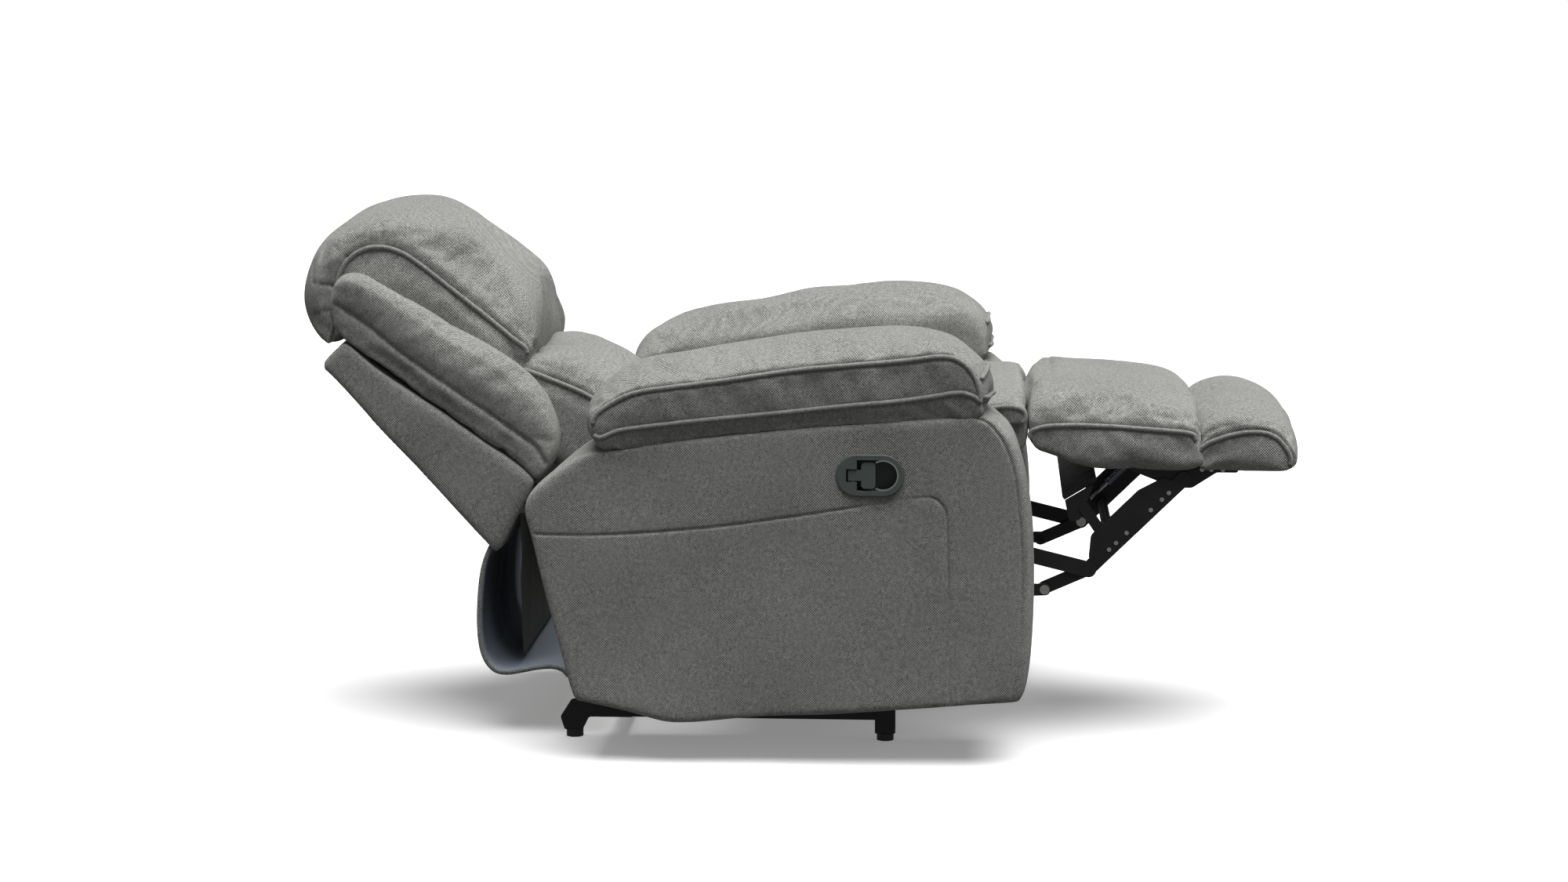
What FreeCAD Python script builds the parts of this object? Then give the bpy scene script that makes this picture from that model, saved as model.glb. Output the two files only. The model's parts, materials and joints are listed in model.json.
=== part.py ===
import FreeCAD, Part
import math
import os

V = FreeCAD.Vector
os.makedirs("parts", exist_ok=True)

# Recliner armchair, fully reclined at rest. Millimetres, +Z up, origin on the floor under the middle of the
# bounding box, the sitter faces -Y and the sitter's right hand is towards -X.

# ---- driving dimensions ----
ARM_IN = 270.0          # inner face of each arm, from the middle plane
ARM_OUT = 465.0         # outer side panel
PAD_OUT = 475.0         # outer edge of the arm pads
SEAT_HALF = 262.0
BACK_HALF = 264.0
CENTRE_HALF = 195.0     # lumbar and head cushions
FOOT_HALF = 250.0       # footrest pad and end roll
COVER_T = 8.0           # padded cover over the arm frame
BOARD = 18.0            # plywood

RAIL_IN, RAIL_OUT = 258.0, 280.0
RAIL_Z0, RAIL_Z1 = 34.0, 60.0

# linkage layers, distances from the middle plane
PLATE_X = (246.0, 250.0)
CONTROL_X = (252.0, 256.0)
LOWER_X = (240.0, 244.0)
UPPER_X = (234.0, 238.0)
BRACKET_X = (228.0, 232.0)
PIN_R = 6.0
HOLE_R = 6.3

# pivots (y, z)
BASE_PIVOT = (-224.0, 350.0)
ELBOW = (-492.0, 284.0)
FOOT_PIVOT = (-646.0, 436.0)
CONTROL_PIVOT = (-188.0, 244.0)
CONTROL_TIP = (-420.0, 252.0)
BACK_PIVOT = (399.0, 382.0)
BACK_LEAN = 42.7        # the back board from vertical, fully reclined

HANDLE_Y, HANDLE_Z = -139.0, 472.0
LEVER_PIN_Y = -111.0


# ---- helpers ----
def save(name, *shapes):
    solids = []
    for shape in shapes:
        solids.extend(shape.Solids)
    Part.makeCompound(solids).exportStep("parts/%s.step" % name)


def box(x0, x1, y0, y1, z0, z1):
    low = V(min(x0, x1), min(y0, y1), min(z0, z1))
    return Part.makeBox(abs(x1 - x0), abs(y1 - y0), abs(z1 - z0), low)


def rod(x0, x1, y, z, r):
    """A round bar along X."""
    return Part.makeCylinder(r, abs(x1 - x0), V(min(x0, x1), y, z), V(1, 0, 0))


def bar(p0, p1, r):
    """A round bar between two points."""
    return Part.makeCylinder(r, (p1 - p0).Length, p0, p1 - p0)


def mirrored(shape):
    return shape.mirror(V(0, 0, 0), V(1, 0, 0))


def both(name, shape):
    save(name, shape, mirrored(shape))


def unit(shape):
    return shape.removeSplitter()


def outline(points):
    """Closed wire in the YZ plane through corners (y, z, corner radius)."""
    n = len(points)
    ends = []
    for i, (y, z, r) in enumerate(points):
        p = V(0, y, z)
        a = V(0, *points[i - 1][:2]) - p
        b = V(0, *points[(i + 1) % n][:2]) - p
        a.normalize()
        b.normalize()
        if r <= 0:
            ends.append((p, None, p))
            continue
        half = a.getAngle(b) / 2
        run = r / math.tan(half)
        mid = a + b
        mid.normalize()
        ends.append((p + a * run, p + mid * (r / math.sin(half) - r), p + b * run))
    edges = []
    for i in range(n):
        start, mid, end = ends[i]
        if mid is not None:
            edges.append(Part.Arc(start, mid, end).toShape())
        nxt = ends[(i + 1) % n][0]
        if (nxt - end).Length > 1e-4:
            edges.append(Part.makeLine(end, nxt))
    return Part.Wire(edges)


def prism(points, x0, x1):
    wire = outline(points)
    face = Part.Face(wire)
    low = min(x0, x1)
    face.translate(V(low, 0, 0))
    return face.extrude(V(abs(x1 - x0), 0, 0))


def end_edges(shape, x):
    return [e for e in shape.Edges if abs(e.BoundBox.XMin - x) < 1e-3 and abs(e.BoundBox.XMax - x) < 1e-3]


def soft(points, x0, x1, r):
    """A prism with both ends rounded over."""
    body = prism(points, x0, x1)
    return body.makeFillet(r, end_edges(body, min(x0, x1)) + end_edges(body, max(x0, x1)))


def slot(a, b, width, x0, x1):
    """A flat link with round ends between two pivots (y, z)."""
    r = width / 2
    low = min(x0, x1)
    t = abs(x1 - x0)
    pa = V(low, a[0], a[1])
    pb = V(low, b[0], b[1])
    along = pb - pa
    side = V(0, -along.z, along.y)
    side.normalize()
    side = side * r
    face = Part.Face(Part.makePolygon([pa + side, pb + side, pb - side, pa - side, pa + side]))
    body = face.extrude(V(t, 0, 0))
    for p in (pa, pb):
        body = body.fuse(Part.makeCylinder(r, t, p, V(1, 0, 0)))
    return unit(body)


def drilled(shape, *holes):
    """Round holes along X: (y, z, radius)."""
    for y, z, r in holes:
        shape = shape.cut(rod(-500, 500, y, z, r))
    return shape


def pin(inner, outer, y, z, head_t=1.6, head_r=9.0):
    """A shouldered rivet: the shank ends at x = outer, the head is inside x = inner."""
    shank = rod(inner - 0.1, outer, y, z, PIN_R)
    head = rod(inner - 0.1 - head_t, inner - 0.1, y, z, head_r)
    dome = head.makeFillet(head_t * 0.6, [e for e in head.Edges if abs(e.BoundBox.XMax - (inner - 0.1 - head_t)) < 1e-3])
    return unit(shank.fuse(dome))


LEAN = math.radians(BACK_LEAN)


def on_back(s, n, r=0.0):
    """A point of the back: s up along the back board, n out of its face, both from the back pivot."""
    y = BACK_PIVOT[0] + s * math.sin(LEAN) - n * math.cos(LEAN)
    z = BACK_PIVOT[1] + s * math.cos(LEAN) + n * math.sin(LEAN)
    return (y, z, r)


def back_outline(points):
    return [on_back(*p) for p in points]


# ---- base ----
rail = box(-RAIL_OUT, -RAIL_IN, -160, 300, RAIL_Z0, RAIL_Z1)
rail = rail.cut(box(-RAIL_OUT + 3, -RAIL_IN - 3, -157, 297, RAIL_Z0 - 1, RAIL_Z1 - 3))
both("base_rails", rail)

cross = [box(-RAIL_IN, RAIL_IN, y - 12, y + 12, RAIL_Z0 + 2, RAIL_Z1) for y in (20, 280)]
save("cross_rails", *cross)

rear_leg = prism([(262, 60, 0), (262, 34, 0), (333, 34, 6), (344, 12, 3), (374, 12, 4), (381, 34, 8),
                  (362, 64, 8), (300, 66, 4)], -RAIL_OUT - 4, -RAIL_OUT)
both("rear_leg_brackets", rear_leg)

front_leg = prism([(-176, 12, 2), (-142, 12, 2), (-142, 58, 6), (-176, 58, 6)], -RAIL_OUT - 4, -RAIL_OUT)
both("front_leg_brackets", front_leg)

feet = []
for y in (358.0, -159.0):
    feet.append(Part.makeCylinder(14, 12, V(-273, y, 0)))
both("foot_pads", Part.makeCompound(feet))

plate = prism([(-249, 376, 6), (-249, 325, 10), (-200, 215, 20), (0, 60, 8), (300, 60, 8), (300, 130, 12),
               (250, 376, 12)], -PLATE_X[1], -PLATE_X[0])
both("mechanism_plates", plate)

hinge_arm = slot((240, 330), BACK_PIVOT, 34, -PLATE_X[0], -PLATE_X[0] + 4)
both("back_hinge_arms", drilled(hinge_arm, (BACK_PIVOT[0], BACK_PIVOT[1], HOLE_R)))

both("seat_side_rails", box(-230, -202, -265, 185, 340, 392))
save("seat_front_rail", box(-201.9, 201.9, -269, -245, 340, 392))
save("seat_rear_rail", box(-201.9, 201.9, 161, 185, 340, 392))
mounts = [box(-PLATE_X[0], -230, y, y + 50, 368, 376) for y in (-245, 90)]
both("seat_mount_angles", Part.makeCompound(mounts))
straps = [box(x - 25, x + 25, -265, 181, 392, 395) for x in (-160, -80, 0, 80, 160)]
save("seat_webbing", *straps)

seat = soft([(186, 398, 12), (188, 522, 40), (20, 545, 300), (-300, 573, 120), (-384, 573, 24), (-384, 522, 16),
             (-279, 522, 3), (-275, 398, 8)], -SEAT_HALF, SEAT_HALF, 2.5)
save("seat_cushion", seat)


# ---- arms ----
ARM = [(303, 509, 10), (398, 444, 14), (415, 405, 24), (334, 99, 10), (200, 68, 60), (160, 66, 60),
       (-376, 103, 12), (-391, 142, 60), (-401, 300, 200), (-389, 450, 150), (-366, 535, 60), (-318, 571, 30)]


def arm_cover():
    body = prism(ARM, -ARM_OUT, -ARM_IN)
    body = body.makeFillet(9, end_edges(body, -ARM_OUT) + end_edges(body, -ARM_IN))
    wire = outline(ARM)
    face = Part.Face(wire.makeOffset2D(-COVER_T))
    face.translate(V(-ARM_OUT + COVER_T, 0, 0))
    hollow = face.extrude(V(ARM_OUT - ARM_IN - 2 * COVER_T, 0, 0))
    return body.cut(hollow)


def arm_frame():
    x0, x1 = -ARM_OUT + COVER_T + 0.5, -ARM_IN - COVER_T - 0.5
    face = Part.Face(outline(ARM).makeOffset2D(-COVER_T - 0.5))
    face.translate(V(x0, 0, 0))
    full = face.extrude(V(x1 - x0, 0, 0))
    outer = full.common(box(x0, x0 + BOARD, -500, 500, 112, 600))
    inner = full.common(box(x1 - BOARD, x1, -500, 500, 112, 600))
    spacer = full.common(box(x0 + BOARD, x1 - BOARD, -500, 500, 112, 600))
    front = spacer.common(box(x0, x1, -400, -340, 100, 540))
    rear = spacer.common(box(x0, x1, 290, 320, 100, 480))
    return [outer, inner, front, rear]


def arm_pad():
    side = [(-322, 560, 8), (-322, 632, 26), (-262, 690, 45), (-170, 690, 300), (200, 655, 200), (268, 630, 80),
            (313, 560, 24), (288, 514, 14), (-286, 571, 8)]
    top = soft(side, -PAD_OUT, -ARM_IN + 2, 26)
    under = prism([(-520, 300, 0), (520, 300, 0), (520, 488, 0), (313, 512.5, 0), (-330, 575.5, 0), (-520, 590, 0)],
                  -600, 0)
    return top.cut(under)


def oval(width, height, x0, x1, y=HANDLE_Y, z=HANDLE_Z):
    r = height / 2
    return slot((y - width / 2 + r, z), (y + width / 2 - r, z), height, x0, x1)


cover_r = arm_cover()
cover_l = mirrored(cover_r)
cup_hole = oval(100, 62, -ARM_OUT - 5, -ARM_OUT + 45)
cover_r = cover_r.cut(cup_hole)
cable_hole = rod(-320, -200, 20, 150, 9)
cover_r = cover_r.cut(cable_hole)
save("arm_cover_right", cover_r)
save("arm_cover_left", cover_l)

boards = arm_frame()
save("arm_frame_left", *[mirrored(b) for b in boards])
boards = [b.cut(cup_hole).cut(cable_hole) for b in boards]
save("arm_frame_right", *boards)

pad_r = arm_pad()
save("arm_pad_right", pad_r)
save("arm_pad_left", mirrored(pad_r))


# ---- release handle, right arm ----
face_x = -ARM_OUT
bezel = oval(109, 68, face_x - 4, face_x)
bezel = bezel.makeFillet(2.5, end_edges(bezel, face_x - 4))
mouth = oval(91, 50, face_x - 6, face_x + 2).common(
    box(face_x - 6, face_x + 2, -220, LEVER_PIN_Y - 7, HANDLE_Z - 40, HANDLE_Z + 40))
notch = box(face_x - 6, face_x + 2, LEVER_PIN_Y - 7, LEVER_PIN_Y + 10, HANDLE_Z - 10.5, HANDLE_Z + 10.5)
bezel = bezel.cut(mouth).cut(notch)
cup = oval(98, 60, face_x, face_x + 36).cut(oval(91, 50, face_x - 1, face_x + 32))
housing = unit(bezel.fuse(cup))
housing = housing.cut(box(face_x + 20, face_x + 40, LEVER_PIN_Y - 4, LEVER_PIN_Y + 4, HANDLE_Z - 3, HANDLE_Z + 3))
save("handle_bezel", housing)

pin_x = face_x + 8
lever_pin = Part.makeCylinder(2.5, 46, V(pin_x, LEVER_PIN_Y, HANDLE_Z - 23))
save("handle_pin", lever_pin)

stem = box(face_x - 1.5, face_x + 3, HANDLE_Y - 8, LEVER_PIN_Y + 7, HANDLE_Z - 8.5, HANDLE_Z + 8.5)
wide = box(face_x - 1.5, face_x + 3, HANDLE_Y - 8.5, HANDLE_Y + 14, HANDLE_Z - 21, HANDLE_Z + 21)
wide = wide.makeFillet(6, [e for e in wide.Edges if abs(e.BoundBox.XLength - 4.5) < 1e-3])
barrel = Part.makeCylinder(5.5, 17, V(pin_x, LEVER_PIN_Y, HANDLE_Z - 8.5))
neck = box(face_x + 1, pin_x, LEVER_PIN_Y - 4, LEVER_PIN_Y + 4, HANDLE_Z - 8.5, HANDLE_Z + 8.5)
paddle = stem.fuse(wide).fuse(barrel).fuse(neck)
paddle = paddle.cut(Part.makeCylinder(2.8, 60, V(pin_x, LEVER_PIN_Y, HANDLE_Z - 30)))
save("handle_paddle", unit(paddle))

ring_y = HANDLE_Y - 20.5
ring = rod(face_x - 0.5, face_x + 1.5, ring_y, HANDLE_Z, 24.6).cut(rod(face_x - 1, face_x + 2, ring_y, HANDLE_Z, 22.4))
ring = ring.cut(box(face_x - 5, face_x + 5, HANDLE_Y - 9, HANDLE_Y + 50, HANDLE_Z - 60, HANDLE_Z + 60))
save("handle_ring", ring)

# sheathed release cable, clipped inside the arm down to the mechanism plate
def rounded_route(points, r):
    edges = []
    start = points[0]
    for a, p, b in zip(points, points[1:], points[2:]):
        u, w = a - p, b - p
        u.normalize()
        w.normalize()
        half = u.getAngle(w) / 2
        run = r / math.tan(half)
        mid = u + w
        mid.normalize()
        edges.append(Part.makeLine(start, p + u * run))
        edges.append(Part.Arc(p + u * run, p + mid * (r / math.sin(half) - r), p + w * run).toShape())
        start = p + w * run
    edges.append(Part.makeLine(start, points[-1]))
    return Part.Wire(edges)


x_bend = face_x + 100
route = [V(face_x + 36.1, LEVER_PIN_Y, HANDLE_Z), V(x_bend, LEVER_PIN_Y, HANDLE_Z), V(x_bend, 20, 150), V(-250.1, 20, 150)]
path = rounded_route(route, 45)
section = Part.Wire([Part.Circle(route[0], V(1, 0, 0), 3.0).toShape()])
save("release_cable", path.makePipeShell([section], True, False))

ferrule = rod(-PLATE_X[0], -200, 20, 150, 6)
save("cable_ferrule", ferrule)

# ---- back ----
shell_side = back_outline([(6, -120, 10), (20, -55, 20), (46, 8, 6), (64, 13, 10), (139, -2, 100), (287, -38, 100),
                           (426, -60, 8), (432, -80, 12), (428, -120, 8)])
shell = soft(shell_side, -BACK_HALF, BACK_HALF, 5)
inner_side = outline(shell_side).makeOffset2D(-COVER_T)
inside = Part.Face(inner_side)
inside.translate(V(-BACK_HALF + COVER_T, 0, 0))
inside = inside.extrude(V(2 * (BACK_HALF - COVER_T), 0, 0))
shell = shell.cut(inside)
slits = prism(back_outline([(-30, -50, 0), (-30, 40, 0), (100, 40, 0), (100, -50, 0)]), -228, -222)
shell = shell.cut(slits).cut(mirrored(slits))
save("back_shell", shell)

side_board = prism(back_outline([(30, -106, 6), (410, -106, 6), (410, -72, 6), (287, -52, 60), (139, -16, 60),
                                 (66, -6, 8)]), -252, -228.2)
both("back_side_boards", side_board)
for name, s in (("back_top_rail", 378), ("back_bottom_rail", 40)):
    save(name, prism(back_outline([(s, -108, 2), (s + 38, -108, 2), (s + 38, -72, 2), (s, -72, 2)]), -227.9, 227.9))
straps = []
for s in (120, 190, 260, 330):
    straps.append(prism(back_outline([(s, -104, 0), (s + 45, -104, 0), (s + 45, -101, 0), (s, -101, 0)]), -227.9, 227.9))
save("back_webbing", *straps)

hinge_plate = prism(back_outline([(-14, -14, 13), (-14, 14, 13), (70, 0, 12), (150, -50, 12), (110, -70, 12)]),
                    -227, -223)
hinge_plate = unit(hinge_plate.fuse(rod(-227, -223, BACK_PIVOT[0], BACK_PIVOT[1], 17)))
both("back_hinge_plates", hinge_plate)
stub = rod(-PLATE_X[0] - 0.3, -227, BACK_PIVOT[0], BACK_PIVOT[1], PIN_R)
nut = rod(-PLATE_X[0] - 5.3, -PLATE_X[0] - 0.3, BACK_PIVOT[0], BACK_PIVOT[1], 10)
both("back_pivot_bolts", unit(stub.fuse(nut)))

wing = soft(back_outline([(50, 18, 3), (52, 50, 20), (82, 90, 30), (150, 114, 60), (215, 113, 80), (440, 46, 60),
                          (496, 24, 14), (500, -22, 14), (436, -58, 8), (287, -37, 100), (139, -1, 100)]),
            -BACK_HALF, -CENTRE_HALF - 3, 14)
both_name = ("wing_right", "wing_left")
save(both_name[0], wing)
save(both_name[1], mirrored(wing))

head = soft(back_outline([(206, 50, 10), (206, 168, 24), (258, 205, 40), (330, 207, 70), (440, 187, 120),
                          (545, 140, 60), (576, 70, 90), (584, -20, 70), (558, -90, 45), (500, -121, 50),
                          (440, -134, 7), (438, -108, 4), (450, -60, 20), (440, -20, 30)]),
            -CENTRE_HALF, CENTRE_HALF, 6)
save("head_pillow", head)

lumbar = soft(back_outline([(-6, 196, 26), (-2, 120, 40), (60, 30, 12), (200, 0, 8), (203, 150, 18), (176, 176, 30),
                            (118, 214, 40), (12, 206, 10)]), -CENTRE_HALF, CENTRE_HALF, 6)
save("lumbar_cushion", lumbar)

flap_mid = [(496, 303), (512, 285), (520, 258), (524, 219), (524, 186), (521, 152), (513, 126), (489, 97), (466, 96),
            (420, 108), (384, 109), (369, 98)]
outer = Part.BSplineCurve()
outer.interpolate([V(-255, y, z) for y, z in flap_mid])
inner_pts = [(y - 4 * (z > 130), z + 4 * (z <= 130)) for y, z in flap_mid]
inner = Part.BSplineCurve()
inner.interpolate([V(-255, y, z) for y, z in inner_pts])
joins = [Part.makeLine(outer.EndPoint, inner.EndPoint), Part.makeLine(inner.StartPoint, outer.StartPoint)]
flap = Part.Face(Part.Wire([outer.toShape(), joins[0], inner.toShape(), joins[1]])).extrude(V(510, 0, 0))
curtain = box(-222, 222, 448, 451, 168, 361)
save("rear_flap", flap, curtain)
save("flap_batten", box(-255, 255, 346, 364.5, 76, 104))


# ---- footrest linkage, built on the right and mirrored ----
both("base_pivot_pins", pin(LOWER_X[0], PLATE_X[0], *BASE_PIVOT))
lower = slot(BASE_PIVOT, ELBOW, 26, -LOWER_X[1], -LOWER_X[0])
both("lower_links", drilled(lower, (*BASE_PIVOT, HOLE_R)))
both("elbow_pins", pin(UPPER_X[0], LOWER_X[0], *ELBOW))
save("drive_tube", rod(-LOWER_X[0], LOWER_X[0], -290, 333.7, 9))

upper = slot(ELBOW, FOOT_PIVOT, 24, -UPPER_X[1], -UPPER_X[0])
tail = slot(ELBOW, CONTROL_TIP, 22, -UPPER_X[1], -UPPER_X[0])
both("foot_pins", pin(BRACKET_X[0], UPPER_X[0], *FOOT_PIVOT))

control = slot(CONTROL_PIVOT, CONTROL_TIP, 20, -CONTROL_X[1], -CONTROL_X[0])
both("control_links", drilled(control, (*CONTROL_PIVOT, HOLE_R)))
tip = rod(-CONTROL_X[1] - 1.5, -CONTROL_X[1], *CONTROL_TIP, 8)
both("control_tip_rivets", tip)
q_pin = rod(-CONTROL_X[1] - 0.1, -PLATE_X[1], *CONTROL_PIVOT, PIN_R)
q_head = rod(-CONTROL_X[1] - 1.9, -CONTROL_X[1] - 0.1, *CONTROL_PIVOT, 9)
both("control_pins", unit(q_pin.fuse(q_head)))


def on_upper(along, off):
    """A point beside the upper link: distance from the elbow, and towards the seat."""
    d = V(0, FOOT_PIVOT[0] - ELBOW[0], FOOT_PIVOT[1] - ELBOW[1])
    d.normalize()
    return (ELBOW[0] + d.y * along + d.z * off, ELBOW[1] + d.z * along - d.y * off)


plate = prism([(*on_upper(8, -12), 4), (*on_upper(206, -12), 4), (*on_upper(196, 24), 14), (*on_upper(150, 38), 14),
               (*on_upper(42, 38), 14), (*on_upper(14, 14), 6)], -UPPER_X[1], -UPPER_X[0])
upper = unit(upper.fuse(tail).fuse(plate))
both("upper_links", drilled(upper, (*ELBOW, HOLE_R), (*CONTROL_TIP, HOLE_R)))
rivets = [rod(-UPPER_X[1] - 1.2, -UPPER_X[1], *on_upper(along, 0), 3.6) for along in (47, 63, 87, 142, 167, 183)]
both("plate_rivets", Part.makeCompound(rivets))

# crossbar between the two upper links, with the small board that fills the gap in front of the seat
save("cross_tube", rod(-UPPER_X[0], UPPER_X[0], *on_upper(52, 0), 9))
carrier = slot(on_upper(52, 0), on_upper(66, 78), 18, -UPPER_X[0], -UPPER_X[0] + 3)
both("board_arms", drilled(carrier, (*on_upper(52, 0), 9)))
near_edge, far_edge = (-451.0, 397.0), (-505.0, 430.0)
gap_board = prism([(near_edge[0], near_edge[1], 2), (near_edge[0] + 4, near_edge[1] + 7, 2),
                   (far_edge[0] + 4, far_edge[1] + 7, 2), (far_edge[0], far_edge[1], 2)], -225.9, 225.9)
save("gap_board", gap_board)
tab = prism([(-452, 397, 2), (-500, 426, 2), (-478, 366, 8), (-460, 360, 8)], -230.9, -226)
both("board_tabs", tab)

spring_x = -221.0
coil0, coil1 = V(spring_x, *on_upper(128, 20)), V(spring_x, *on_upper(84, 20))
coil = bar(coil0, coil1, 7).cut(bar(coil0 + (coil0 - coil1) * 0.1, coil1 + (coil1 - coil0) * 0.1, 5))
both("link_springs", coil)
rod_end = V(spring_x, *on_upper(42.2, 20))
rod_top = V(spring_x, *on_upper(137.8, 20))
both("spring_rods", bar(rod_top, rod_end, 3))
holder = []
for along in (38, 142):
    y, z = on_upper(along, 20)
    ear = slot(on_upper(along, 0), (y, z), 10, -UPPER_X[0], -UPPER_X[0] + 2)
    arm = rod(-UPPER_X[0], spring_x + 3.5, y, z, 4)
    holder.append(unit(ear.fuse(arm)))
both("spring_hooks", Part.makeCompound(holder))

# ---- footrest ----
bracket = prism([(-560, 458, 4), (-560, 448, 4), (-632, 420, 14), (-660, 420, 14), (-700, 446, 12), (-735, 446, 4),
                 (-735, 458, 4)], -BRACKET_X[1], -BRACKET_X[0])
flange = box(-BRACKET_X[1], -204, -735, -560, 454, 458)
bracket = unit(bracket.fuse(flange))
both("footrest_brackets", drilled(bracket, (*FOOT_PIVOT, HOLE_R)))
screws = []
for y in (-580, -700, -720):
    screws.append(Part.makeCylinder(5, 2.5, V(-216, y, 451.5)))
for y in (-676, -691, -710):
    screws.append(rod(-BRACKET_X[1] - 1.2, -BRACKET_X[1], y, 451, 3.6))
both("bracket_screws", Part.makeCompound(screws))
save("footrest_board", box(-236, 236, -738, -500, 458, 474))

pad = soft([(-392, 490, 6), (-391, 570, 16), (-440, 596, 60), (-520, 592, 200), (-600, 578, 100), (-664, 552, 6),
            (-666, 475, 6), (-495, 475, 30)], -FOOT_HALF, FOOT_HALF, 5)
save("footrest_pad", pad)
roll = soft([(-669, 475.2, 8), (-668, 538, 10), (-700, 560, 40), (-770, 558, 60), (-818, 522, 40), (-841.6, 482, 20),
             (-838, 459, 10), (-741, 459, 2), (-741, 475.2, 1)],
            -FOOT_HALF, FOOT_HALF, 5)
save("end_roll", roll)
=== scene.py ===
import json
import math

import bmesh
import bpy
import numpy as np
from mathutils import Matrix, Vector
from mathutils.bvhtree import BVHTree
from mathutils.kdtree import KDTree


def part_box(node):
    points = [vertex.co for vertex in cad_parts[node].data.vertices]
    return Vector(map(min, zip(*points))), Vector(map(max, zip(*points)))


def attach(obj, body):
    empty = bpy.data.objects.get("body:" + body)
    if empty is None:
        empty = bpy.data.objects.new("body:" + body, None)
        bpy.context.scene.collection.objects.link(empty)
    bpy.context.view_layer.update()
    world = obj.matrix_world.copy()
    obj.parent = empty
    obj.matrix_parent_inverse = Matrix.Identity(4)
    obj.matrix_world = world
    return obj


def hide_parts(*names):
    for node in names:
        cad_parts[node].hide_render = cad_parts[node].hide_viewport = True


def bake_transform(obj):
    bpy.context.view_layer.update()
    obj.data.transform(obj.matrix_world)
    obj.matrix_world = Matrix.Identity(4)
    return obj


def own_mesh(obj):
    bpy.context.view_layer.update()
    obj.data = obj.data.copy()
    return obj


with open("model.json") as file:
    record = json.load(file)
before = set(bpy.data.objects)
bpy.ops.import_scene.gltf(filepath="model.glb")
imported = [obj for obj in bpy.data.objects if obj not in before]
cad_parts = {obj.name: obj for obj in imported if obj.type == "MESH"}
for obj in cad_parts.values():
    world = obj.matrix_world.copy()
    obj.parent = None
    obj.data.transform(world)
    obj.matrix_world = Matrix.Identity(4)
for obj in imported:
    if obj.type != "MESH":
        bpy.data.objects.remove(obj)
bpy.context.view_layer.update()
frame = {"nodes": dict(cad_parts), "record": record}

# ---- the frame's own sizes, in metres ----
PAD_LOW, PAD_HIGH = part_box("arm_pad_right")
COVER_LOW, COVER_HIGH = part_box("arm_cover_right")
SEAT_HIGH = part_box("seat_cushion")[1]
SHELL_LOW, SHELL_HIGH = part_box("back_shell")
FOOT_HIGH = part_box("footrest_pad")[1]
BEZEL_LOW, BEZEL_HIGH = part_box("handle_bezel")
JOINTS = {j["name"]: j for j in frame["record"]["behaviour"]["joints"]}
BACK_PIVOT = Vector(JOINTS["back_recline"]["pos_m"])
BACK_LEAN = math.radians(42.7)

# ---- camera, lights and floor ----
CAMERA_AT = Vector((-5.742, -0.324, 1.289))
CAMERA_AZIMUTH = math.radians(3.486)
CAMERA_DOWN = math.radians(8.213)
LENS = 77.5
AMBIENT = 0.15
OVERHEAD = 5.0
FILL = 4
FLOOR_GLOW = 0.22


def camera():
    data = bpy.data.cameras.new("camera")
    data.lens = LENS
    data.sensor_width = 36
    data.clip_end = 60
    cam = bpy.data.objects.new("camera", data)
    bpy.context.collection.objects.link(cam)
    flat = math.cos(CAMERA_DOWN)
    look = Vector((math.cos(CAMERA_AZIMUTH) * flat, math.sin(CAMERA_AZIMUTH) * flat, -math.sin(CAMERA_DOWN)))
    cam.location = CAMERA_AT
    cam.rotation_euler = look.to_track_quat("-Z", "Y").to_euler()
    bpy.context.scene.camera = cam


def add_light(name, kind, at, aim, energy, spread):
    data = bpy.data.lights.new(name, kind)
    data.energy = energy
    if kind == "SUN":
        data.angle = spread
    else:
        data.size = spread
    light = bpy.data.objects.new(name, data)
    light.location = at
    light.rotation_euler = (Vector(aim) - Vector(at)).to_track_quat("-Z", "Y").to_euler()
    bpy.context.collection.objects.link(light)


def studio():
    """A broad light overhead, a weak fill all round, and a white ground that throws nothing back."""
    world = bpy.data.worlds.new("studio")
    bpy.context.scene.world = world
    world.use_nodes = True
    tree = world.node_tree
    back = tree.nodes["Background"]
    back.inputs["Color"].default_value = (1, 1, 1, 1)
    seen = tree.nodes.new("ShaderNodeLightPath")
    level = tree.nodes.new("ShaderNodeMapRange")
    level.inputs["To Min"].default_value = AMBIENT
    level.inputs["To Max"].default_value = 1.0
    tree.links.new(seen.outputs["Is Camera Ray"], level.inputs["Value"])
    tree.links.new(level.outputs[0], back.inputs["Strength"])
    add_light("overhead", "SUN", (-0.25, -0.45, 3.0), (0, 0, 0), OVERHEAD, math.radians(62))
    add_light("fill", "AREA", (-3.6, -1.6, 1.9), (0, -0.1, 0.4), FILL, 2.4)
    bpy.ops.mesh.primitive_plane_add(size=80, location=(0, 0, -0.0005))
    floor = bpy.context.object
    floor.name = "floor"
    floor.visible_diffuse = False
    floor.visible_glossy = False
    white = plain("floor_white", (0.96, 0.96, 0.96), 0.8)
    glow = white.node_tree.nodes["Principled BSDF"].inputs
    glow["Emission Color"].default_value = (1, 1, 1, 1)
    glow["Emission Strength"].default_value = FLOOR_GLOW
    floor.data.materials.append(white)
    bpy.context.scene.view_settings.view_transform = "Standard"


# ---- materials ----
def plain(name, colour, rough, metal=0.0):
    mat = bpy.data.materials.new(name)
    mat.use_nodes = True
    bsdf = mat.node_tree.nodes["Principled BSDF"]
    bsdf.inputs["Base Color"].default_value = (*colour, 1)
    bsdf.inputs["Roughness"].default_value = rough
    bsdf.inputs["Metallic"].default_value = metal
    return mat


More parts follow.
